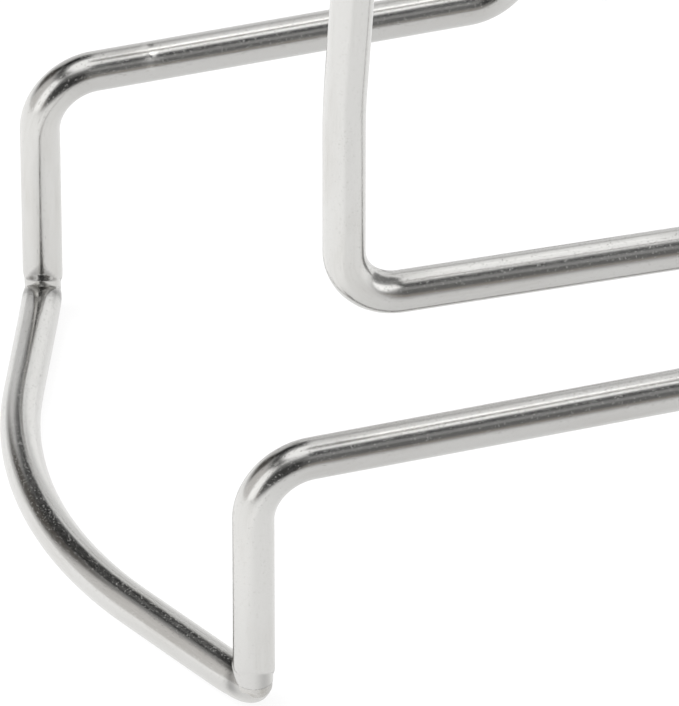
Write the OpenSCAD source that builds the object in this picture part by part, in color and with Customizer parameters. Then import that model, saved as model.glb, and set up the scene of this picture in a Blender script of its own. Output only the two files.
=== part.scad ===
// Drip bag holder of bent and welded stainless wire, in millimetres.
// It stands on its two cup arcs: +Z is up, +X to the right, and the front is towards -Y.
// The origin is on the surface below the centre of the holder.

/* [Wire] */
// Diameter of the wire
wire_d = 3; // [2.4:0.1:4]
// Centreline radius of the bends in the front and back wires
bend_r = 4.3; // [3.4:0.1:5.2]

/* [Legs] */
// Distance between the left and right legs' centrelines
leg_span_x = 78.6; // [64:0.2:100]
// Distance between the front and back legs' centrelines
leg_span_y = 52.4; // [42:0.2:66]
// Height of the lower rails' centreline above the cup arcs' centreline
leg_h = 19.1; // [12:0.1:40]

/* [Rails] */
// Distance between the lower and upper rails' centrelines at a hairpin
rail_gap = 11.9; // [9.8:0.1:24]
// Rise of the upper rail from its hairpin out to its upright, in degrees
rail_rise = 1.9; // [0:0.1:5]
// Clear gap between the left and right hairpins where they are tacked together
hairpin_gap = 0.2; // [0.1:0.05:1]
// Distance from a leg's centreline in to its upright's
upright_inset = 6.7; // [2:0.1:16]

/* [Uprights] */
// Height of an upright's vertical stretch, from the upper rail's centreline to the lean
upright_h = 15.8; // [10:0.1:40]
// Lean of the uprights' upper stretch, away from the middle, in degrees
lean = 10; // [4:0.5:25]
// Length of the leaning stretch, up to the top bar's centreline
lean_run = 21.5; // [12:0.1:45]

/* [Cup arcs] */
// Centreline radius of a cup arc's round stretch
arc_r = 36; // [28:0.5:60]
// Half the angle of that round stretch, in degrees, to where its ends run straight
arc_half_angle = 23; // [10:0.5:26]
// How far an arc's ends run past the legs' centrelines
arc_past = 0.5; // [0:0.1:2]
// How deep a leg's end sits in the cup arc's wire
leg_sink = 0.6; // [0.3:0.05:1]

/* [Tack welds] */
// Width of a weld bead between two hairpins
tack_d = 2; // [1.4:0.1:2.6]
// How far the bead stops short of each end of the hairpins' straight backs
tack_margin = 0.5; // [0.1:0.05:0.7]

/* [Hidden] */
$fn = 64;
// A bend's section swells by this much, and the straight stretches lap into it by that much
bend_swell = 0.02;
lap = 0.05;
wire_r = wire_d / 2;
arc_z = wire_r + bend_swell;
leg_x = leg_span_x / 2;
leg_y = leg_span_y / 2;
leg_end = wire_r - leg_sink;
upright_x = leg_x - upright_inset;
hairpin_x = hairpin_gap / 2 + wire_r;
rise_turn = 90 - rail_rise;
rise_tangent = bend_r * tan(rise_turn / 2);
lean_tangent = bend_r * tan(lean / 2);
lower_run = leg_x - hairpin_x - 2 * bend_r;
hairpin_run = rail_gap - bend_r - rise_tangent;
upper_run = (upright_x - hairpin_x) / cos(rail_rise) - 2 * rise_tangent;
arc_run = (leg_y - arc_r * sin(arc_half_angle)) / cos(arc_half_angle);
arc_bulge = arc_r * (1 - cos(arc_half_angle)) + arc_run * sin(arc_half_angle);
lower_z = arc_z + leg_h;
hairpin_mid_z = lower_z + bend_r + hairpin_run / 2;
tack_h = hairpin_run - 2 * tack_margin;
upper_z = lower_z + rail_gap + (upright_x - hairpin_x) * tan(rail_rise);
top_y = leg_y + lean_run * sin(lean);
top_z = upper_z + upright_h + lean_run * cos(lean);

// A straight stretch of wire along +Z, its laps into the bends, and what follows it
module run(length, before = lap, after = lap) {
    translate([0, 0, -before]) cylinder(h = before + length + after, r = wire_r);
    translate([0, 0, length]) children();
}

// A bend of the wire from +Z towards +X, and what follows it
module turn(angle, radius = bend_r) {
    translate([radius, 0, 0]) {
        rotate([-90, 180, 0])
            rotate_extrude(angle = angle) translate([radius, 0]) circle(r = wire_r + bend_swell);
        rotate([0, angle, 0]) translate([-radius, 0, 0]) children();
    }
}

// A turn of the wire about its own axis, so that its next bend goes another way
module roll(angle) {
    rotate([0, 0, angle]) children();
}

// The left half of the front wire, from its foot to the corner of the top bar
module half_wire() {
    translate([-leg_x, -leg_y, arc_z + leg_end])
        run(leg_h - leg_end - bend_r, before = 0)
        turn(90) run(lower_run)
        roll(180) turn(90) run(hairpin_run)
        turn(rise_turn) run(upper_run)
        roll(180) turn(rise_turn) run(upright_h - rise_tangent - lean_tangent)
        roll(-90) turn(lean) run(lean_run - lean_tangent - bend_r)
        roll(90) turn(90);
}

// The front wire's top bar, between the corners of its two halves
module top_bar() {
    translate([0, -top_y, top_z])
        rotate([0, 90, 0]) cylinder(h = 2 * (upright_x - bend_r + lap), r = wire_r, center = true);
}

// The front wire, from its left foot over the top bar to its right foot
module whole_wire() {
    half_wire();
    mirror([1, 0, 0]) half_wire();
    top_bar();
}

module front_wire() {
    color("silver") whole_wire();
}

module back_wire() {
    color("silver") mirror([0, 1, 0]) whole_wire();
}

// The front half of the left cup arc, from its middle to its front end
module half_arc() {
    translate([-leg_x - arc_bulge, 0, arc_z])
        rotate([90, 0, 0])
        turn(arc_half_angle, arc_r) run(arc_run + arc_past, after = 0);
}

// The left cup arc, with the seats of its two legs cut into it
module arc_wire() {
    difference() {
        union() {
            half_arc();
            mirror([0, 1, 0]) half_arc();
        }
        for (side = [-1, 1])
            translate([-leg_x, side * leg_y, arc_z + leg_end]) cylinder(h = wire_d, r = wire_r);
    }
}

module left_cup_arc() {
    color("silver") arc_wire();
}

module right_cup_arc() {
    color("silver") mirror([1, 0, 0]) arc_wire();
}

// A weld bead in the groove between the left and right hairpins of the front wire
module hairpin_tack() {
    difference() {
        translate([0, -leg_y, hairpin_mid_z]) cylinder(h = tack_h, d = tack_d, center = true);
        for (side = [-1, 1])
            translate([side * hairpin_x, -leg_y, hairpin_mid_z])
                cylinder(h = 2 * tack_h, r = wire_r, center = true);
    }
}

module hairpin_tacks() {
    color("gray") {
        hairpin_tack();
        mirror([0, 1, 0]) hairpin_tack();
    }
}

front_wire();
back_wire();
left_cup_arc();
right_cup_arc();
hairpin_tacks();
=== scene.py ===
"""Looks of a drip bag holder of bent and welded stainless wire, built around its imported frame."""

import logging
import math
from dataclasses import dataclass, field
from enum import Enum

import bpy
import numpy as np
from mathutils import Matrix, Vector


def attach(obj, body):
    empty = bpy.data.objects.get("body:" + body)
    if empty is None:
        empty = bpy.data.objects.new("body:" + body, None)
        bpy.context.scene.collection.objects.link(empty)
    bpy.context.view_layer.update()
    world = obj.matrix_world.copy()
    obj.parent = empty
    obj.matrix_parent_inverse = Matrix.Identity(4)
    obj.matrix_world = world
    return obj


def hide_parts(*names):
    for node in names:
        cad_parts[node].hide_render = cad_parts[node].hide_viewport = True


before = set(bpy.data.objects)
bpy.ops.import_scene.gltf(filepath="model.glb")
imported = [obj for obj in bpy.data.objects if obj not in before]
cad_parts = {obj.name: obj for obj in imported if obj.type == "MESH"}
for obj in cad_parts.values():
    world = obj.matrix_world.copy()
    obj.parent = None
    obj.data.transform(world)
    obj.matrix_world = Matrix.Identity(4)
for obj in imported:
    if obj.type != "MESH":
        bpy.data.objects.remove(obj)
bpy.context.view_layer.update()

log = logging.getLogger("drip_bag_holder")

# One millimetre in the frame's metres
MM = 0.001
# Corners round a wire's section, and their directions in radians and in degrees
WIRE_SIDES = 48
CORNERS = np.linspace(0, 2 * np.pi, WIRE_SIDES, endpoint=False)
CORNER_DEGREES = np.linspace(0, 360, WIRE_SIDES, endpoint=False)
# Places of the lower and the upper rail among the stretches of half a bent wire
LOWER_RAIL, UPPER_RAIL = 2, 6
# Slack in telling which stretch a place along a wire lies on, and the decimals kept of such a place
SLACK = 1e-9
DECIMALS = 6
# Name of the mesh attribute that holds a surface point's place round and along its wire
DRAWN = "drawn"
# Name of the mesh attribute that scales the metal's colour, 1 for its plain finish. It holds
# painted light and shade (painted reflections, highlights and shade), heat tint and darker patches
TONE = "tone"

Pair = tuple[float, float]
Triple = tuple[float, float, float]
Colour = tuple[float, float, float, float]
Array = np.ndarray
Material = bpy.types.Material
Socket = bpy.types.NodeSocket


class Side(Enum):
    """Which of the two bent wires, by the sign of its place along Y."""

    FRONT = -1
    BACK = 1


class Hand(Enum):
    """Which end of the holder, by the sign of its place along X."""

    LEFT = -1
    RIGHT = 1


@dataclass(frozen=True)
class Grain:
    """A noise pattern: blotches to a unit, octaves of finer pattern, and the strength of those."""

    scale: float
    detail: float = 2.0
    rough: float = 0.5


class Shader:
    """A material's or world's node tree, with short calls for the nodes that the finishes use."""

    def __init__(self, tree: bpy.types.NodeTree) -> None:
        """Take a node tree and empty it."""
        self.tree = tree
        tree.nodes.clear()

    def node(self, kind: str, feeds: dict[int | str, object], **settings: object) -> bpy.types.Node:
        """Add a node.

        Args:
            kind: The node's Blender type name.
            feeds: What its inputs take, by number or name: a socket to link, or a plain value.
            **settings: Attributes to set on it first.

        Returns:
            The new node.
        """
        made = self.tree.nodes.new(kind)
        for name, value in settings.items():
            setattr(made, name, value)
        for name, source in feeds.items():
            if isinstance(source, bpy.types.NodeSocket):
                self.tree.links.new(source, made.inputs[name])
            else:
                made.inputs[name].default_value = source
        return made

    def source(self, kind: str, output: str, **settings: object) -> Socket:
        """Return an output of a new node whose inputs stay as they are."""
        return self.node(kind, {}, **settings).outputs[output]

    def maths(self, operation: str, first: object, second: object = 0.0) -> Socket:
        """Return the result of a Math node on two sockets or numbers."""
        return self.node("ShaderNodeMath", {0: first, 1: second}, operation=operation).outputs[0]

    def dot(self, vector: Socket, way: Triple) -> Socket:
        """Return a vector's dot product with a fixed direction."""
        made = self.node("ShaderNodeVectorMath", {0: vector, 1: way}, operation="DOT_PRODUCT")
        return made.outputs["Value"]

    def scaled(self, vector: Socket, share: Socket) -> Socket:
        """Return a vector or colour times a number."""
        made = self.node("ShaderNodeVectorMath", {0: vector, "Scale": share}, operation="SCALE")
        return made.outputs["Vector"]

    def in_mm(self, place: Socket, factors: Triple = (1.0, 1.0, 1.0)) -> Socket:
        """Return a place in millimetres, times factors. A small one draws a pattern out."""
        feeds = {"Vector": place, "Scale": [factor / MM for factor in factors]}
        return self.node("ShaderNodeMapping", feeds).outputs["Vector"]

    def noise(self, place: Socket, grain: Grain) -> Socket:
        """Return a noise pattern's value, from 0 to 1."""
        feeds = {"Scale": grain.scale, "Detail": grain.detail, "Roughness": grain.rough}
        return self.node("ShaderNodeTexNoise", {"Vector": place, **feeds}).outputs["Fac"]

    def blend(self, share: Socket, first: object, second: object, label: str = "") -> Socket:
        """Return the first colour at share 0, the second at share 1, and a mix between them."""
        feeds = {0: share, 6: first, 7: second}
        return self.node("ShaderNodeMix", feeds, data_type="RGBA", label=label).outputs[2]

    def bump(self, height: Socket, depth: float, under: Socket | None = None) -> Socket:
        """Return a normal dented to a depth in metres, laid on the one under it if there is one."""
        feeds = {"Distance": depth, "Height": height} | ({} if under is None else {"Normal": under})
        return self.node("ShaderNodeBump", feeds).outputs["Normal"]

    def ramp(self, value: Socket, start: float, end: float, low: float = 0.0, high: float = 1.0,
             smooth: bool = False) -> Socket:
        """Carry a value from one range to another.

        Args:
            value: The value's socket.
            start: The value that becomes low.
            end: The value that becomes high.
            low: The result at start.
            high: The result at end.
            smooth: Whether it eases in and out between the two.

        Returns:
            The result's socket.
        """
        easing = "SMOOTHSTEP" if smooth else "LINEAR"
        feeds = {"Value": value, "From Min": start, "From Max": end, "To Min": low, "To Max": high}
        return self.node("ShaderNodeMapRange", feeds, interpolation_type=easing).outputs["Result"]

    def surface(self, feeds: dict[int | str, object]) -> None:
        """Put a Principled shader with these inputs on the surface."""
        shell = self.node("ShaderNodeBsdfPrincipled", feeds)
        self.node("ShaderNodeOutputMaterial", {"Surface": shell.outputs[0]})

    def metal(self, colour: Socket, rough: Socket, normal: Socket) -> None:
        """Put bare metal on the surface, its colour scaled by the tone attribute."""
        # The tone attribute holds painted light and shade as well as heat tint
        toned = self.scaled(colour, self.source("ShaderNodeAttribute", "Fac", attribute_name=TONE))
        self.surface({"Metallic": 1.0, "Base Color": toned, "Roughness": rough, "Normal": normal})


def add_object(name: str, data: bpy.types.ID) -> bpy.types.Object:
    """Put a mesh, lamp or camera in the scene.

    Args:
        name: The object's name.
        data: What it holds.

    Returns:
        The object.
    """
    made = bpy.data.objects.new(name, data)
    bpy.context.scene.collection.objects.link(made)
    return made


def open_material(name: str) -> tuple[Material, Shader]:
    """Start a material.

    Args:
        name: The material's name.

    Returns:
        The material and its empty tree.
    """
    made = bpy.data.materials.new(name)
    made.use_nodes = True
    return made, Shader(made.node_tree)


@dataclass(frozen=True)
class BrightSteel:
    """Bright drawn stainless wire: fine lines along it, a faint mottle, small pits, soft blotches.

    Depths are in metres. A pair of numbers is the range of a pattern that a ramp carries over.
    """

    name: str = "bright_drawn_steel"
    plain: Colour = (0.512, 0.508, 0.496, 1.0)
    darkened: Colour = (0.44, 0.43, 0.41, 1.0)
    polished: float = 0.15
    dull: float = 0.26
    worn_from_to: Pair = (0.32, 0.68)
    lines: Grain = Grain(9.0, 3.0, 0.6)
    lines_drawn_out: Triple = (1.0, 1.0, 0.06)
    lines_depth: float = 0.8e-6
    lines_share: float = 0.55
    mottle: Grain = Grain(2.6, 2.0, 0.55)
    mottle_depth: float = 1.7e-6
    mottle_share: float = 0.45
    blotch: Grain = Grain(1.0)
    blotch_drawn_out: Triple = (0.5, 0.5, 0.12)
    blotch_from_to: Pair = (0.45, 0.8)
    streak_from_to: Pair = (0.35, 0.65)
    streak_shares: Pair = (0.3, 0.8)
    pit: Grain = Grain(6.5, 1.0)
    pit_from_to: Pair = (0.64, 0.74)
    pit_depth: float = 7.0e-6
    pit_stain: float = 0.45

    def material(self) -> Material:
        """Build the finish.

        Every pattern is noise read on the drawn attribute. The lines and the blotches are drawn
        out along the wire, and the lines break the blotches up into streaks. Pits are where a
        fine noise passes a high threshold.

        Returns:
            The material.
        """
        made, kit = open_material(self.name)
        place = kit.source("ShaderNodeAttribute", "Vector", attribute_name=DRAWN)
        per_mm = kit.in_mm(place)
        lines = kit.noise(kit.in_mm(place, self.lines_drawn_out), self.lines)
        mottle = kit.noise(per_mm, self.mottle)
        blotch = kit.noise(kit.in_mm(place, self.blotch_drawn_out), self.blotch)
        pits = kit.ramp(kit.noise(per_mm, self.pit), *self.pit_from_to, smooth=True)
        streaks = kit.ramp(lines, *self.streak_from_to, *self.streak_shares)
        darkening = kit.maths("MULTIPLY", kit.ramp(blotch, *self.blotch_from_to), streaks)
        marked = kit.maths("MAXIMUM", darkening, kit.maths("MULTIPLY", pits, self.pit_stain))
        worn = kit.maths("ADD", kit.maths("MULTIPLY", lines, self.lines_share),
                         kit.maths("MULTIPLY", mottle, self.mottle_share))
        rough = kit.ramp(worn, *self.worn_from_to, self.polished, self.dull)
        ground = kit.bump(mottle, self.mottle_depth, kit.bump(lines, self.lines_depth))
        ground = kit.bump(kit.maths("SUBTRACT", 1.0, pits), self.pit_depth, ground)
        kit.metal(kit.blend(marked, self.plain, self.darkened), rough, ground)
        return made


@dataclass(frozen=True)
class WeldSteel:
    """Weld metal: duller than the wire, rippled, with a straw and grey heat tint in patches.

    Depths are in metres. A pair of numbers is the range of a pattern that a ramp carries over.
    """

    name: str = "weld_steel"
    colour: Colour = (0.60, 0.59, 0.57, 1.0)
    burnt: Colour = (0.50, 0.487, 0.46, 1.0)
    polished: float = 0.22
    dull: float = 0.34
    dark_marks: Grain = Grain(0.9, 3.0, 0.6)
    burn_from_to: Pair = (0.48, 0.68)
    ripple: Grain = Grain(1.7)
    ripple_depth: float = 0.6e-5
    grain: Grain = Grain(9.0, 3.0, 0.6)
    grain_from_to: Pair = (0.3, 0.7)
    grain_depth: float = 2.0e-6

    def material(self) -> Material:
        """Build the finish, whose patterns are noise read on Object coordinates.

        Returns:
            The material.
        """
        made, kit = open_material(self.name)
        per_mm = kit.in_mm(kit.source("ShaderNodeTexCoord", "Object"))
        ripple = kit.noise(per_mm, self.ripple)
        grain = kit.noise(per_mm, self.grain)
        dark_marks = kit.ramp(kit.noise(per_mm, self.dark_marks), *self.burn_from_to, smooth=True)
        rough = kit.ramp(grain, *self.grain_from_to, self.polished, self.dull)
        ground = kit.bump(grain, self.grain_depth, kit.bump(ripple, self.ripple_depth))
        kit.metal(kit.blend(dark_marks, self.colour, self.burnt), rough, ground)
        return made


@dataclass(frozen=True)
class PalePaper:
    """The white sheet that the holder stands on, which glows a little with painted light.

    Places are in metres, from the middle to the ends along X and towards the front along Y.
    """

    name: str = "pale_paper"
    colour: Colour = (0.20, 0.20, 0.20, 1.0)
    dull: float = 0.9
    glow: Colour = (1.0, 1.0, 1.0, 1.0)
    glow_middle: float = 0.85
    glow_ends: float = 1.0
    ends_from: float = 0.039
    ends_to: float = 0.058
    front_near: float = -0.075
    front_far: float = -0.320
    front_share: float = 0.40

    def material(self) -> Material:
        """Build the finish.

        Its glow, painted light, grows from the middle out to beyond the holder's two ends, and
        falls away far in front of it.

        Returns:
            The material.
        """
        made, kit = open_material(self.name)
        place = kit.source("ShaderNodeTexCoord", "Object")
        # Painted light: the sheet's glow, brighter towards the ends and fainter far in front
        glow = kit.ramp(kit.maths("ABSOLUTE", kit.dot(place, (1.0, 0.0, 0.0))), self.ends_from,
                        self.ends_to, self.glow_middle, self.glow_ends, smooth=True)
        fall = kit.ramp(kit.dot(place, (0.0, 1.0, 0.0)), self.front_far, self.front_near,
                        self.front_share, 1.0, smooth=True)
        kit.surface({"Base Color": self.colour, "Roughness": self.dull, "Specular IOR Level": 0.0,
                     "Emission Color": self.glow,
                     "Emission Strength": kit.maths("MULTIPLY", glow, fall)})
        return made


@dataclass(frozen=True)
class Stretch:
    """One straight stretch or one bend of a wire's centreline. Sizes are in millimetres."""

    start: float
    length: float
    origin: Array
    heading: Array
    towards: Array
    ring: Array
    radius: float = math.inf

    def at(self, stations: Array) -> tuple[Array, Array, Array]:
        """Work out places on the stretch.

        On a bend the angle is the run over the radius, the point is the origin plus the radius
        times (the angle's sine along the heading and one less its cosine towards the bend), and
        the ring direction turns with it about the bend's own axis.

        Args:
            stations: Lengths along the whole wire.

        Returns:
            Centres, tangents and ring directions, a row for each station.
        """
        run = (stations - self.start)[:, None]
        if math.isinf(self.radius):
            level = np.ones_like(run)
            return self.origin + run * self.heading, level * self.heading, level * self.ring
        angle = run / self.radius
        sine, cosine = np.sin(angle), np.cos(angle)
        axis = np.cross(self.heading, self.towards)
        centre = self.origin + self.radius * (sine * self.heading + (1 - cosine) * self.towards)
        tangent = cosine * self.heading + sine * self.towards
        inward, across = self.ring @ self.towards, self.ring @ axis
        ring = inward * (cosine * self.towards - sine * self.heading) + across * axis
        return centre, tangent, ring


@dataclass
class WireRoute:
    """A wire's centreline, laid stretch by stretch as a bending machine makes it.

    Sizes are in millimetres and angles in degrees. A straight step is the length between rings on
    a straight stretch, and a bend step the angle between them on a bend.
    """

    origin: Array
    heading: Array
    towards: Array
    straight_step: float = 0.5
    bend_step: float = 3.0
    stretches: list[Stretch] = field(default_factory=list)
    ring: Array | None = None

    def _lay(self, length: float, radius: float) -> "WireRoute":
        """Add a stretch and move to its end.

        Args:
            length: Its length.
            radius: Its bend radius, infinite on a straight stretch.

        Returns:
            The route.
        """
        ring = self.towards if self.ring is None else self.ring
        laid = Stretch(self.length, length, self.origin, self.heading, self.towards, ring, radius)
        self.stretches.append(laid)
        centre, tangent, ring = laid.at(np.array([laid.start + length]))
        if not math.isinf(radius):
            axis = np.cross(self.heading, self.towards)
            self.towards = np.cross(axis, tangent[0])
        self.origin, self.heading, self.ring = centre[0], tangent[0], ring[0]
        return self

    @property
    def length(self) -> float:
        """Return the length laid so far."""
        return sum(s.length for s in self.stretches)

    def run(self, length: float) -> "WireRoute":
        """Lay a straight stretch and return the route."""
        return self._lay(length, math.inf)

    def turn(self, degrees: float, radius: float) -> "WireRoute":
        """Lay a bend towards the current side and return the route."""
        return self._lay(math.radians(degrees) * radius, radius)

    def roll(self, degrees: float) -> "WireRoute":
        """Turn the side that the next bend goes to about the wire's own axis.

        Args:
            degrees: The angle.

        Returns:
            The route.
        """
        angle, beside = math.radians(degrees), np.cross(self.heading, self.towards)
        self.towards = math.cos(angle) * self.towards + math.sin(angle) * beside
        return self

    def stations(self) -> Array:
        """Place the rings, in even steps on straight stretches and even angles on bends.

        Returns:
            The lengths at which they stand.
        """
        marks = []
        for s in self.stretches:
            bent = math.radians(self.bend_step) * s.radius
            step = self.straight_step if math.isinf(s.radius) else bent
            count = max(2, round(s.length / step) + 1)
            marks.append(s.start + np.linspace(0, s.length, count)[:-1])
        return np.concatenate([*marks, [self.length]])

    def at(self, stations: Array) -> tuple[Array, Array, Array]:
        """Work out places on the whole route.

        Args:
            stations: Lengths along it.

        Returns:
            Centres, tangents and ring directions.
        """
        centre, tangent, ring = (np.zeros((len(stations), 3)) for _ in range(3))
        for s in self.stretches:
            here = stations >= s.start - SLACK
            centre[here], tangent[here], ring[here] = s.at(stations[here])
        return centre, tangent, ring


@dataclass
class Skin:
    """A closed round skin over rings of points, with a pole at each end.

    Sizes are in millimetres. The drawn and tone arrays hold those attributes for the rings.
    """

    rings: Array
    poles: tuple[Array, Array]
    drawn: Array
    tone: Array

    def arrays(self) -> tuple[Array, Array, Array, Array, Array]:
        """Number the skin's points and faces.

        Each ring is joined to the next by a row of quads that closes on itself, and the first and
        last rings to their poles by fans of triangles.

        Returns:
            Points, quads, triangles, and the values of the drawn and tone attributes.
        """
        rows, sides = self.rings.shape[:2]
        points = np.concatenate([self.rings.reshape(-1, 3), np.array(self.poles)])
        index = np.arange(rows * sides).reshape(rows, sides)
        onward = np.roll(index, -1, axis=1)
        quads = np.stack([index[:-1], onward[:-1], onward[1:], index[1:]], axis=-1).reshape(-1, 4)
        first, last = rows * sides, rows * sides + 1
        start_fan = np.stack([np.full(sides, first), onward[0], index[0]], axis=-1)
        end_fan = np.stack([np.full(sides, last), index[-1], onward[-1]], axis=-1)
        ends = np.array([self.drawn[0].mean(axis=0), self.drawn[-1].mean(axis=0)])
        drawn = np.concatenate([self.drawn.reshape(-1, 3), ends])
        tone = np.concatenate([self.tone.ravel(), self.tone[[0, -1]].mean(axis=1)])
        return points, quads, np.concatenate([start_fan, end_fan]), drawn, tone


def make_piece(name: str, skins: list[Skin], finish: Material) -> bpy.types.Object:
    """Put one or more closed skins into a smooth mesh object at the origin.

    Args:
        name: The piece's name.
        skins: Its skins.
        finish: Its material.

    Returns:
        The object, linked to the scene.
    """
    points, quads, fans, drawn, tones = zip(*(skin.arrays() for skin in skins))
    before = np.cumsum([0, *map(len, points)])
    quads, fans = (np.concatenate([own + first for own, first in zip(faces, before)])
                   for faces in (quads, fans))
    points, drawn, tones = (np.concatenate(own) for own in (points, drawn, tones))
    mesh = bpy.data.meshes.new(name)
    mesh.vertices.add(len(points))
    mesh.vertices.foreach_set("co", (points * MM).ravel())
    corners = np.concatenate([quads.ravel(), fans.ravel()])
    mesh.loops.add(len(corners))
    mesh.loops.foreach_set("vertex_index", corners)
    starts = np.concatenate([np.arange(len(quads)) * 4, quads.size + np.arange(len(fans)) * 3])
    mesh.polygons.add(len(starts))
    mesh.polygons.foreach_set("loop_start", starts)
    mesh.update(calc_edges=True)
    mesh.validate()
    mesh.shade_smooth()
    place = mesh.attributes.new(DRAWN, "FLOAT_VECTOR", "POINT")
    place.data.foreach_set("vector", (drawn * MM).ravel())
    tone = mesh.attributes.new(TONE, "FLOAT", "POINT")
    tone.data.foreach_set("value", tones.astype(np.float32))
    mesh.materials.append(finish)
    return add_object(name, mesh)


def wire_skin(centre: Array, tangent: Array, ring: Array, stations: Array,
              radius: Array, tone: Array, wire_r: float, marks_from: float,
              dome: float = 0.0) -> Skin:
    """Carry a round section along a centreline.

    The point at angle a of a ring is its centre plus its radius times (cosine of a along the ring
    direction and sine of a along the binormal).

    Args:
        centre: Ring centres.
        tangent: Ring tangents.
        ring: Ring directions, where angle 0 is.
        stations: Lengths along the wire, for the drawn attribute.
        radius: Radius of each point, a row for each ring.
        tone: Brightness of each point, a row for each ring.
        wire_r: The wire's plain radius, for the drawn attribute.
        marks_from: Added to the stations, so that no two wires have the same marks.
        dome: How far the poles stand out of the end rings.

    Returns:
        The skin.
    """
    cosine, sine = np.cos(CORNERS), np.sin(CORNERS)
    binormal = np.cross(tangent, ring)
    spokes = cosine[None, :, None] * ring[:, None] + sine[None, :, None] * binormal[:, None]
    rings = centre[:, None] + radius[..., None] * spokes
    place = (wire_r * cosine, wire_r * sine, (stations + marks_from)[:, None])
    drawn = np.stack(np.broadcast_arrays(*place), axis=-1)
    poles = (centre[0] - dome * tangent[0], centre[-1] + dome * tangent[-1])
    return Skin(rings, poles, drawn, tone)


def wire_piece(node: str, skin: Skin, finish: Material) -> bpy.types.Object:
    """Make a wire and stand it in for its solid.

    Args:
        node: The solid's name.
        skin: The wire's skin.
        finish: Its material.

    Returns:
        The piece.
    """
    made = make_piece(f"{node}_drawn", [skin], finish)
    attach(made, "root")
    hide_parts(node)
    return made


def bell(distance: Array, width: float) -> Array:
    """Return a bell curve, 1 in its middle and e to the power -1 at its width."""
    return np.exp(-(distance / width) ** 2)


def apart(facing: Array, way: float) -> Array:
    """Return how far directions lie from one way, in degrees from -180 to 180."""
    return (facing - way + 180) % 360 - 180


@dataclass(frozen=True)
class Layout:
    """Sizes that the wires, the arcs and the welds share, in millimetres."""

    wire_r: float = 1.5
    leg_x: float = 39.3
    leg_y: float = 26.2
    arc_z: float = 1.52


@dataclass(frozen=True)
class PaintedHighlight:
    """A painted highlight along a rail, a bell curve of the angle round the wire, in degrees."""

    tone: float
    angle: float
    width: float

    def row(self) -> Array:
        """Return the brightness that it adds at each corner of the section."""
        return self.tone * bell(CORNER_DEGREES - self.angle, self.width)


@dataclass(frozen=True)
class Nick:
    """The shallow nick on the back lower rail's front upper side, with a painted highlight on it.

    Sizes are in millimetres, except for the angle in degrees and the glow's turn in radians.
    Its methods take distances along the wire from its middle, a row for each ring.
    """

    at: float = 8.4
    length: float = 0.30
    depth: float = 0.032
    angle: float = 228.0
    glow: float = 0.95
    glow_length: float = 0.55
    glow_turn: float = 0.34
    reach: float = 1.5
    rings: int = 25

    def dent(self, off: Array) -> Array:
        """Return its depth, a bell curve along the wire times a clipped cosine round it."""
        turn = CORNERS - math.radians(self.angle)
        return self.depth * bell(off, self.length) * np.clip(np.cos(turn), 0, 1)

    def painted_glint(self, off: Array) -> Array:
        """Return the painted highlight that it adds, a bell curve along the wire and round it."""
        around = (CORNERS - math.radians(self.angle)) / self.glow_turn
        return self.glow * np.exp(-(off / self.glow_length) ** 2 - around ** 2)


@dataclass(frozen=True)
class MeltedLip:
    """The end of a leg, where it is melted into its weld.

    Sizes are in millimetres. Angles are in degrees from the inward direction. The lip stands
    highest at the outer and the inner one, as on a leg pressed into a cross wire.
    """

    low: float = 1.45
    rise: float = 0.95
    outer: float = -106.0
    inner: float = 112.0
    inset: float = 0.12
    soft: float = 0.50
    taper: float = 0.12
    flash: float = 0.26
    flash_root: float = 0.14
    flash_fade: float = 0.40
    flash_under: float = 0.80
    flash_power: float = 1.5

    def level(self, facing: Array) -> Array:
        """Return the lip's height over the arc's middle, higher by the larger of two cosines."""
        outer, inner = (np.cos(np.radians(facing - way)) for way in (self.outer, self.inner))
        return self.low + self.rise * np.clip(np.maximum(outer, inner), 0, 1)

    def proud(self, above: Array, facing: Array) -> Array:
        """Work out how far the leg's skin stands out near its lip, or in where it is negative.

        At the lip the leg rounds in as a quarter ellipse, and below it the leg narrows into the
        weld. On the side of the other foot metal pressed out of the joint stands proud of it: it
        falls off as an exponential above the lip, and as a quarter circle below it.

        Args:
            above: Heights above the lip.
            facing: Directions that the points face.

        Returns:
            Lengths to add to the radius.
        """
        rounding, below = np.clip(1 - above / self.soft, 0, 1), np.minimum(above, 0)
        inset = self.inset * (1 - np.sqrt(1 - rounding ** 2)) - self.taper * below
        fading = np.exp(-np.clip(above, 0, None) / self.flash_fade)
        tucked = np.sqrt(np.clip(1 - (below / self.flash_under) ** 2, 0, 1))
        inner = np.clip(np.cos(np.radians(facing - self.inner)), 0, 1)
        pressed = inner ** self.flash_power * np.where(above > 0, fading, tucked)
        return np.maximum(-inset, (self.flash_root + self.flash) * pressed - self.flash_root)


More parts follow.
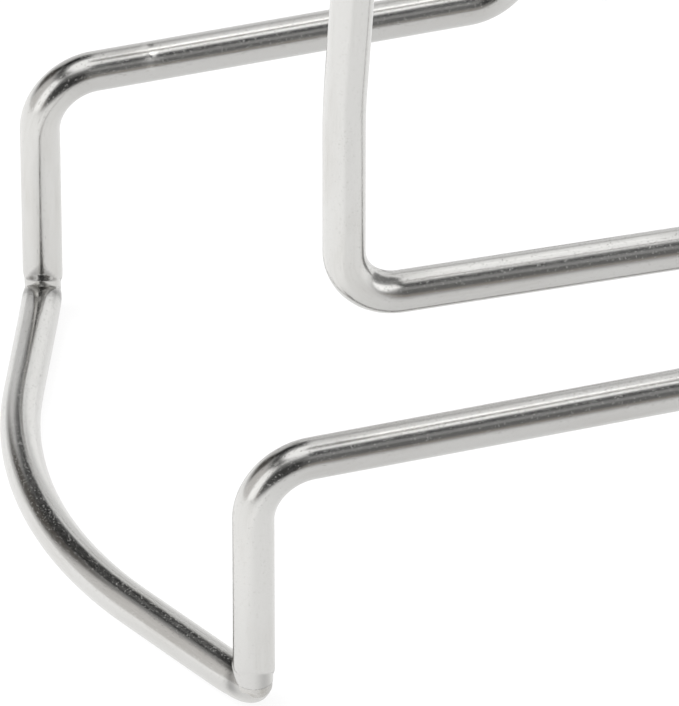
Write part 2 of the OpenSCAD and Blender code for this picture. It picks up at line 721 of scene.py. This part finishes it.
@dataclass(frozen=True)
class LegShadeAndTint:
    """Painted shade and heat tint at a leg. Sizes are in millimetres, angles in degrees."""

    darkening: float = 0.30
    darkening_facing: float = -76.0
    darkening_width: float = 22.0
    darkening_depth: float = 0.2
    painted_shade: float = 0.74
    painted_shade_peak: float = 1.15
    painted_shade_height: float = 1.25
    painted_shade_width: float = 46.0
    painted_shade_under: float = 0.15
    gap: float = 0.55
    gap_width: float = 12.0
    painted_reflection: float = 0.10
    painted_reflection_width: float = 17.0
    line_skip: float = 2.0
    line_fade: float = 3.0

    def foot(self, above: Array, facing: Array, inner: float) -> Array:
        """Work out how dark the metal is round the lip.

        Above the lip on the inner side stands a dark peak, painted shade (a painted dark reflection
        above the weld's collar) with heat tint: it falls in proportion to the height and to the
        angle, and it is fainter in its middle by a bell curve of the angle. Below the lip a darker
        patch is a bell curve of the angle.

        Args:
            above: Heights above the lip.
            facing: Directions that the points face.
            inner: The peak's direction.

        Returns:
            Shares of the brightness that are left.
        """
        # Painted shade with heat tint: a dark peak above the lip on the inner side
        aside = np.abs(apart(facing, inner))
        height = np.clip(above, 0, None)
        peak = self.painted_shade_peak - height / self.painted_shade_height - aside / self.painted_shade_width
        spared = 1 - self.gap * bell(aside, self.gap_width)
        started = np.clip(1 + above / self.painted_shade_under, 0, 1)
        share = 1 - self.painted_shade * spared * np.sqrt(np.clip(peak, 0, 1)) * started
        # Darker just below the lip, towards one side
        below = np.clip(-above / self.darkening_depth, 0, 1)
        darkened = bell(apart(facing, self.darkening_facing), self.darkening_width)
        return share * (1 - self.darkening * below * darkened)

    def leg(self, above: Array, facing: Array, inner: float, top: float) -> Array:
        """Work out the faint painted dark reflection up a leg, a bell curve of the angle.

        It comes in over the first millimetre above the lip, and fades out below the bend.

        Args:
            above: Heights above the lip.
            facing: Directions that the points face.
            inner: The line's direction.
            top: Height at which the leg's bend starts.

        Returns:
            Shares of the brightness that are left.
        """
        fading = np.clip((top - self.line_skip - above) / self.line_fade, 0, 1)
        shown = fading * np.clip(above, 0, 1)
        return 1 - self.painted_reflection * shown * bell(apart(facing, inner), self.painted_reflection_width)


@dataclass
class BentWire:
    """The front or back wire, from its left foot over the top bar to its right foot.

    Sizes are in millimetres and angles in degrees.
    """

    side: Side
    layout: Layout = Layout()
    bend_r: float = 4.3
    leg_end: float = 0.9
    leg_h: float = 19.1
    rail_gap: float = 11.9
    rail_rise: float = 1.9
    hairpin_x: float = 1.6
    upright_inset: float = 6.7
    upright_h: float = 15.8
    lean: float = 10.0
    lean_r: float = 20.0
    lean_run: float = 21.5
    foot_reach: float = 3.5
    foot_rings: int = 44
    marks_from: float = 40.0
    # Painted reflection: upright stretches painted brighter than level ones
    upright_painted_sheen: float = 0.21
    line_skip: float = 2.0
    line_fade: float = 3.0
    # Painted highlights along the lower and the upper rail
    lower_rail_highlight: PaintedHighlight = PaintedHighlight(0.85, 204.0, 6.0)
    upper_rail_highlight: PaintedHighlight = PaintedHighlight(0.34, 346.0, 8.0)
    nick: Nick = Nick()
    lip: MeltedLip = MeltedLip()
    # Painted shade with heat tint round the lip, and a painted dark reflection up the back legs
    dark_marks: LegShadeAndTint = LegShadeAndTint()

    def route(self) -> WireRoute:
        """Lay the left half, from the foot to the middle of the top bar.

        Returns:
            The route, as it stands on the front wire.
        """
        at = self.layout
        rise_turn = 90 - self.rail_rise
        rise_tangent = self.bend_r * math.tan(math.radians(rise_turn / 2))
        lean_tangent = self.lean_r * math.tan(math.radians(self.lean / 2))
        upright_x = at.leg_x - self.upright_inset
        upper_rail = (upright_x - self.hairpin_x) / math.cos(math.radians(self.rail_rise))
        laid = WireRoute(np.array([-at.leg_x, -at.leg_y, at.arc_z + self.leg_end]),
                         np.array([0.0, 0.0, 1.0]), np.array([1.0, 0.0, 0.0]))
        laid.run(self.leg_h - self.leg_end - self.bend_r)
        laid.turn(90, self.bend_r).run(at.leg_x - self.hairpin_x - 2 * self.bend_r)
        laid.roll(180).turn(90, self.bend_r).run(self.rail_gap - self.bend_r - rise_tangent)
        laid.turn(rise_turn, self.bend_r).run(upper_rail - 2 * rise_tangent)
        laid.roll(180).turn(rise_turn, self.bend_r)
        laid.run(self.upright_h - rise_tangent - lean_tangent)
        laid.roll(-90).turn(self.lean, self.lean_r)
        laid.run(self.lean_run - lean_tangent - self.bend_r)
        return laid.roll(90).turn(90, self.bend_r).run(upright_x - self.bend_r)

    def on_rail(self, half: Array, rail: Stretch) -> Array:
        """Work out how much of a rail's painted highlight shows at each ring.

        It comes in and goes out in proportion to the distance from the rail's ends.

        Args:
            half: Ring places of the left half.
            rail: The rail.

        Returns:
            Shares from 0 to 1, a row for each ring of both halves.
        """
        inside = np.minimum(half - rail.start - self.line_skip, rail.start + rail.length - half)
        share = np.clip(inside / self.line_fade, 0, 1)
        return np.concatenate([share, share[-2::-1]])[:, None]

    def section(self, stations: Array, total: float,
                nick: float) -> tuple[Array, Array]:
        """Work out the section's radius, and how painted shade and highlights, heat tint and a
        darker patch change its brightness.

        Args:
            stations: Ring places.
            total: The wire's whole length.
            nick: Where the back rail's nick is.

        Returns:
            Radii, and shares of the brightness, a row for each ring.
        """
        on_right = stations[:, None] > total / 2
        facing = np.where(on_right, 180 - CORNER_DEGREES, CORNER_DEGREES) * -self.side.value
        from_end = np.minimum(stations, total - stations)[:, None]
        above = from_end + self.leg_end - self.lip.level(facing)
        radius = self.layout.wire_r + self.lip.proud(above, facing)
        # Painted shade with heat tint above the lip, and a darker patch below it
        share = self.dark_marks.foot(above, facing, self.lip.inner)
        if self.side is Side.BACK:
            off = stations[:, None] - nick
            top = self.leg_h - self.bend_r
            radius = radius - self.nick.dent(off)
            # Painted dark reflection: a faint dark line up the back legs
            share = share * self.dark_marks.leg(above, facing, self.lip.inner, top)
            # Painted highlight on the nick
            share = share * (1 + self.nick.painted_glint(off))
        return radius, share

    def skin(self) -> Skin:
        """Carry the section along the left half and its mirror image.

        The right half reads the left one backwards with X turned round, and on the back wire Y is
        turned round. Rings stand closer at the foot and at the nick. Upright stretches are painted
        brighter than level ones as painted reflection, and each rail has its painted highlight.

        Returns:
            The wire's skin.
        """
        route = self.route()
        total = 2 * route.length
        lower, upper = route.stretches[LOWER_RAIL], route.stretches[UPPER_RAIL]
        nick = lower.start + self.nick.at - self.bend_r
        marks = route.stations()
        half = [np.linspace(0, self.foot_reach, self.foot_rings)[:-1],
                marks[marks >= self.foot_reach],
                nick + np.linspace(-self.nick.reach, self.nick.reach, self.nick.rings)]
        half = np.unique(np.concatenate(half).round(DECIMALS))
        centre, tangent, ring = route.at(half)
        mirror, to_side = np.array([-1.0, 1.0, 1.0]), np.array([1.0, -self.side.value, 1.0])
        centre, tangent, ring = (np.concatenate([left, (left * right)[-2::-1]]) * to_side
                                 for left, right in ((centre, mirror), (tangent, -mirror),
                                                     (ring, mirror)))
        stations = np.concatenate([half, total - half[-2::-1]])
        radius, share = self.section(stations, total, nick)
        # Painted light: uprights painted brighter, and a painted highlight along each rail
        tone = (1 + self.upright_painted_sheen * tangent[:, 2:] ** 2
                + self.on_rail(half, lower) * self.lower_rail_highlight.row()
                + self.on_rail(half, upper) * self.upper_rail_highlight.row())
        return wire_skin(centre, tangent, ring, stations, radius, tone * share,
                         self.layout.wire_r, self.marks_from * self.side.value)

    def build(self, finish: Material) -> bpy.types.Object:
        """Make the wire and stand it in for its solid."""
        return wire_piece(f"{self.side.name.lower()}_wire", self.skin(), finish)


@dataclass
class CupArc:
    """The bowed wire under the two legs of one end. Sizes are in millimetres, angles in degrees.

    Each end closes with two small rings, which have the tip shares of its radius and stand out
    by the tip domes.
    """

    hand: Hand
    layout: Layout = Layout()
    arc_r: float = 36.0
    half_angle: float = 23.0
    bend_step: float = 1.2
    past: float = 1.15
    end_taper: float = 2.6
    end_square: float = 2.6
    end_share: float = 0.03
    end_rings: int = 17
    end_gap: float = 0.1
    end_lift: float = 0.45
    lift_run: float = 4.5
    lift_power: float = 1.5
    tip_shares: Pair = (0.35, 0.75)
    tip_domes: Pair = (0.009, 0.0045)
    pole_dome: float = 0.001
    marks_from: float = 100.0
    marks_apart: float = 60.0
    # Painted reflection: the arcs painted as bright as the uprights
    arc_painted_sheen: float = 1.21
    # Painted shade in a ring round each leg, where its weld collar overhangs
    painted_shade: float = 0.48
    painted_shade_r: float = 1.70
    painted_shade_width: float = 0.34
    painted_shade_edge: float = 0.6

    def route(self) -> WireRoute:
        """Lay the arc from its front end to its back end.

        Returns:
            The route of the arc on this hand.
        """
        at, hand, turn = self.layout, self.hand.value, math.radians(self.half_angle)
        run = (at.leg_y - self.arc_r * math.sin(turn)) / math.cos(turn) + self.past
        heading = np.array([hand * math.sin(turn), math.cos(turn), 0.0])
        towards = np.array([-hand * math.cos(turn), math.sin(turn), 0.0])
        start = np.array([hand * at.leg_x, -at.leg_y, at.arc_z]) - self.past * heading
        laid = WireRoute(start, heading, towards, bend_step=self.bend_step)
        return laid.run(run).turn(2 * self.half_angle, self.arc_r).run(run)

    def stations(self, route: WireRoute) -> Array:
        """Place the rings: two for the tip and a close row for the taper at each end.

        Args:
            route: The arc's route.

        Returns:
            The lengths at which they stand.
        """
        rim = self.end_taper * (1 - np.cos(np.linspace(0, np.pi / 2, self.end_rings)))
        marks, inset = route.stations(), self.end_taper + self.end_gap
        inner = marks[(marks > inset) & (marks < route.length - inset)]
        tip = np.zeros(len(self.tip_shares))
        return np.concatenate([tip, rim, inner, route.length - rim[::-1], route.length - tip])

    def skin(self) -> Skin:
        """Carry the section along the arc.

        Its ends narrow as a long blunt dome: within the taper the radius is the wire's times the
        height of a rounded quarter box. The weld has also pulled the ends up a little, as a power
        of the way to the end. Painted shade darkens the upper side in a ring round each leg, where
        its weld collar overhangs, a bell curve of the distance from the leg's axis.

        Returns:
            The arc's skin.
        """
        at, route = self.layout, self.route()
        stations = self.stations(route)
        centre, tangent, ring = route.at(stations)
        from_end = np.minimum(stations, route.length - stations)
        way = np.clip(1 - from_end / self.end_taper, 0, 1)
        height = (1 - way ** self.end_square) ** (1 / self.end_square)
        radius = at.wire_r * (self.end_share + (1 - self.end_share) * height)
        lift = np.clip(1 - from_end / self.lift_run, 0, 1) ** self.lift_power
        centre[:, 2] += self.end_lift * lift
        shares, domes = np.array(self.tip_shares), np.array(self.tip_domes)[:, None]
        radius[:2] *= shares
        radius[-2:] *= shares[::-1]
        centre[:2] -= domes * tangent[:2]
        centre[-2:] += domes[::-1] * tangent[-2:]
        radii = np.repeat(radius[:, None], WIRE_SIDES, axis=1)
        marks_from = self.marks_from + self.marks_apart * self.hand.value
        made = wire_skin(centre, tangent, ring, stations, radii, np.full_like(radii, self.arc_painted_sheen),
                         at.wire_r, marks_from, self.pole_dome)
        x, y, z = np.moveaxis(made.rings, -1, 0)
        # Painted shade: the upper side darkened in a ring round each leg
        from_leg = np.hypot(np.abs(x) - at.leg_x, np.abs(y) - at.leg_y)
        upper = np.clip((z - at.arc_z) / self.painted_shade_edge + 0.5, 0, 1)
        made.tone *= 1 - self.painted_shade * upper * bell(from_leg - self.painted_shade_r, self.painted_shade_width)
        return made

    def build(self, finish: Material) -> bpy.types.Object:
        """Make the arc and stand it in for its solid."""
        return wire_piece(f"{self.hand.name.lower()}_cup_arc", self.skin(), finish)


@dataclass
class WeldBead:
    """A closed lump of weld metal, with a few seeded waves over it. Sizes are in millimetres."""

    centre: Triple
    size: Triple
    seed: int
    darker_towards: Pair = (0.0, 0.0)
    squareness: float = 3.5
    waves: int = 5
    wave_size: float = 0.0125
    wave_count: float = 2.6
    rows: int = 28
    sides: int = 48

    def skin(self) -> Skin:
        """Work out the lump.

        It is a ball pressed towards a barrel: along the direction that rises by the angle e its
        radius is one over the root of the sum of cos(e) and |sin(e)|, each to the squareness,
        times one plus each wave. Its tone falls towards a given direction, as a clipped cosine
        of the angle round it.

        Returns:
            The skin.
        """
        draw, power = np.random.default_rng(self.seed), self.squareness
        rise = np.linspace(-np.pi / 2, np.pi / 2, self.rows + 2)[1:-1, None]
        angle = np.linspace(0, 2 * np.pi, self.sides, endpoint=False)[None, :]
        way = np.stack([np.cos(rise) * np.cos(angle), np.cos(rise) * np.sin(angle),
                        np.sin(rise) * np.ones_like(angle)], axis=-1)
        reach = (np.cos(rise) ** power + np.abs(np.sin(rise)) ** power) ** (-1 / power)
        for _ in range(self.waves):
            push = draw.normal(size=3) * self.wave_count
            shift = draw.uniform(0, 2 * np.pi)
            reach = reach * (1 + self.wave_size * np.sin(way @ push + shift))
        rings = np.array(self.centre) + reach[..., None] * way * np.array(self.size)
        poles = (rings[0].mean(axis=0), rings[-1].mean(axis=0))
        tone = 1 - np.clip(way[..., :2] @ np.array(self.darker_towards), 0, 1)
        return Skin(rings, poles, rings, tone)


@dataclass
class Welds:
    """The welds at the four feet and between the hairpins. Sizes are in millimetres."""

    layout: Layout = Layout()
    foot_size: Triple = (1.30, 1.30, 0.95)
    foot_rise: float = 0.75
    foot_darker_towards: Pair = (0.16, 0.10)
    foot_seed: int = 7
    hairpin_mid_z: float = 26.64
    tack_size: Triple = (0.8, 0.95, 1.2)
    tack_seed: int = 21

    def foot(self, hand: Hand, side: Side) -> WeldBead:
        """Shape the weld at one foot, darker towards the inside and away from the other foot.

        Args:
            hand: The foot's end of the holder.
            side: The foot's wire.

        Returns:
            The bead, with a seed of its own.
        """
        x, y, at = hand.value, side.value, self.layout
        place = (x * at.leg_x, y * at.leg_y, at.arc_z + self.foot_rise)
        darker_way = (-x * self.foot_darker_towards[0], y * self.foot_darker_towards[1])
        return WeldBead(place, self.foot_size, self.foot_seed + x + 3 * y, darker_way)

    def tack(self, side: Side) -> WeldBead:
        """Return the tack between the hairpins of one wire, with a seed of its own."""
        place = (0.0, side.value * self.layout.leg_y, self.hairpin_mid_z)
        return WeldBead(place, self.tack_size, self.tack_seed + side.value)

    def build(self, finish: Material) -> list[bpy.types.Object]:
        """Make the foot welds and the hairpin tacks.

        Args:
            finish: The welds' material.

        Returns:
            The two pieces.
        """
        feet = [self.foot(hand, side).skin() for hand in Hand for side in Side]
        tacks = [self.tack(side).skin() for side in Side]
        made = [make_piece("foot_welds", feet, finish),
                make_piece("hairpin_tack_beads", tacks, finish)]
        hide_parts("hairpin_tacks")
        for piece in made:
            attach(piece, "root")
        return made


@dataclass(frozen=True)
class Panel:
    """A patch of the studio as the holder sees it, which softens by an angle at each edge.

    Angles are in degrees, azimuth from the front to the right and low and high above level.
    """

    name: str
    azimuth: float
    half_width: float
    low: float
    high: float
    soft: float
    level: float
    warm: float = 0.0


def grey(level: float, warm: float = 0.0) -> Colour:
    """Return a light level as a colour, warmer for a positive second number."""
    return (level * (1 + warm), level, level * (1 - warm), 1.0)


@dataclass(frozen=True)
class Studio:
    """The room: white sheet, soft light from above, a darker side by the camera, and the camera.

    The sheet's and the lamp's sizes and places are in metres, the camera's in millimetres.
    """

    floor_size: float = 6.0
    room: float = 0.45
    sheet: float = 1.05
    horizon: float = 2.0
    backdrop: float = 1.0
    lamp_power: float = 7.5
    lamp_size: float = 1.0
    lamp_place: Triple = (-0.55, 0.10, 0.90)
    camera_azimuth: float = 17.99
    camera_elevation: float = 34.56
    camera_distance: float = 742.67
    camera_target: Triple = (-24.437, -0.040, 10.190)
    camera_lens: float = 519.3
    camera_sensor: float = 36.0
    camera_clip: Pair = (0.01, 50.0)
    panels: tuple[Panel, ...] = (
        Panel("backdrop", -168, 62, -14, 31, 5, 0.82),
        Panel("backdrop_right", 164, 12, -14, 26, 5, 1.0),
        Panel("left_grey", -98, 26, -12, 46, 8, 0.78, 0.02),
        Panel("back_dark_low", -145, 18, 10, 42, 6, 0.09, 0.10),
        Panel("back_dark_high", -169, 26, 31, 54, 3, 0.02),
        Panel("back_upper", 178, 32, 55, 66, 5, 0.28),
        Panel("dark_ring", 0, 122, 48, 63, 4, 0.16),
        Panel("bend_dark", -132, 20, 49, 59, 4, 0.04),
        Panel("right_dim", 101, 23, -4, 56, 5, 0.26),
        Panel("right_low", 129, 13, -14, 32, 5, 1.22),
        Panel("right_back", 144, 18, 31, 80, 5, 1.25),
        Panel("right_high", 118, 30, 60, 80, 5, 1.25),
        Panel("front_dark", -8, 42, -3, 52, 3, 0.20),
        Panel("front_low", -8, 42, -6, 9, 5, 0.42, 0.10),
        Panel("front_black", -19, 24, -8, 38, 4, 0.05),
        Panel("front_high", -18, 32, 54, 72, 5, 1.1),
        Panel("front_top", 24, 13, 50, 65, 3, 0.08, -0.05),
        Panel("front_glow", 18, 14, 33, 45, 4, 0.44),
        Panel("left_strip", -67, 17, -8, 47, 4, 1.55),
        Panel("right_strip", 54, 12, -8, 47, 3, 1.8),
        Panel("ceiling", 0, 200, 66, 100, 2, 1.6),
    )

    def share(self, panel: Panel, kit: Shader, way: Socket, rise: Socket) -> Socket:
        """Work out how much of a panel shows in each direction.

        It is a smooth step of the azimuth from the panel's middle, times smooth steps of the
        elevation above its lower edge and below its upper edge.

        Args:
            panel: The panel.
            kit: The world's tree.
            way: The direction's socket.
            rise: The elevation's socket, in radians.

        Returns:
            The share's socket, from 0 to 1.
        """
        rad, soft, middle = math.radians, panel.soft, math.radians(panel.azimuth)
        ahead = kit.dot(way, (math.sin(middle), -math.cos(middle), 0.0))
        aside = kit.dot(way, (math.cos(middle), math.sin(middle), 0.0))
        swing = kit.maths("ABSOLUTE", kit.maths("ARCTAN2", aside, ahead))
        wide = kit.ramp(swing, rad(panel.half_width + soft), rad(panel.half_width - soft),
                        smooth=True)
        over = kit.ramp(rise, rad(panel.low - soft), rad(panel.low + soft), smooth=True)
        under = kit.ramp(rise, rad(panel.high + soft), rad(panel.high - soft), smooth=True)
        return kit.maths("MULTIPLY", wide, kit.maths("MULTIPLY", over, under))

    def world(self) -> None:
        """Paint the surroundings that the wires reflect, panel over panel.

        Under the panels lie the room and, below the horizon, the sheet. The camera itself sees
        the plain white backdrop.
        """
        made = bpy.data.worlds.new("studio")
        bpy.context.scene.world = made
        made.use_nodes = True
        kit = Shader(made.node_tree)
        way = kit.source("ShaderNodeTexCoord", "Generated")
        rise = kit.maths("ARCSINE", kit.dot(way, (0.0, 0.0, 1.0)))
        edge = math.radians(self.horizon)
        light = kit.blend(kit.ramp(rise, -edge, edge, smooth=True), grey(self.sheet),
                          grey(self.room))
        for panel in self.panels:
            share = self.share(panel, kit, way, rise)
            light = kit.blend(share, light, grey(panel.level, panel.warm), panel.name)
        seen = kit.source("ShaderNodeLightPath", "Is Camera Ray")
        light = kit.blend(seen, light, grey(self.backdrop))
        glow = kit.node("ShaderNodeBackground", {"Color": light})
        kit.node("ShaderNodeOutputWorld", {"Surface": glow.outputs[0]})

    def floor(self) -> None:
        """Lay the white sheet."""
        reach = self.floor_size / 2
        mesh = bpy.data.meshes.new("white_sheet")
        corners = [(-reach, -reach, 0), (reach, -reach, 0), (reach, reach, 0), (-reach, reach, 0)]
        mesh.from_pydata(corners, [], [(0, 1, 2, 3)])
        mesh.materials.append(PalePaper().material())
        add_object("white_sheet", mesh)

    def lamp(self) -> None:
        """Hang the soft light, which lights the sheet but isn't itself reflected."""
        data = bpy.data.lights.new("soft_light", "AREA")
        data.shape, data.size, data.energy = "DISK", self.lamp_size, self.lamp_power
        made = add_object("soft_light", data)
        made.location = self.lamp_place
        made.rotation_euler = (-Vector(self.lamp_place)).to_track_quat("-Z", "Y").to_euler()
        made.visible_glossy = False

    def camera(self) -> None:
        """Stand the camera where the photograph was taken from."""
        turn, tilt = math.radians(self.camera_azimuth), math.radians(self.camera_elevation)
        level = math.cos(tilt)
        ahead = Vector((math.sin(turn) * level, math.cos(turn) * level, -math.sin(tilt)))
        data = bpy.data.cameras.new("view")
        data.lens, data.sensor_width, data.sensor_fit = self.camera_lens, self.camera_sensor, "AUTO"
        data.clip_start, data.clip_end = self.camera_clip
        made = add_object("view", data)
        made.location = (Vector(self.camera_target) - ahead * self.camera_distance) * MM
        made.rotation_euler = ahead.to_track_quat("-Z", "Y").to_euler()
        bpy.context.scene.camera = made

    def build(self) -> None:
        """Set up the room, its light and the camera."""
        self.world()
        self.floor()
        self.lamp()
        self.camera()
        bpy.context.scene.view_settings.view_transform = "Standard"


def main() -> None:
    """Build the studio and every piece of the holder, in order."""
    logging.basicConfig(level=logging.INFO, format="%(message)s")
    Studio().build()
    steel, weld = BrightSteel().material(), WeldSteel().material()
    pieces = [BentWire(side).build(steel) for side in Side]
    pieces += [CupArc(hand).build(steel) for hand in Hand]
    pieces += Welds().build(weld)
    for piece in pieces:
        log.info("%s: %d faces", piece.name, len(piece.data.polygons))


if __name__ == "__main__":
    main()
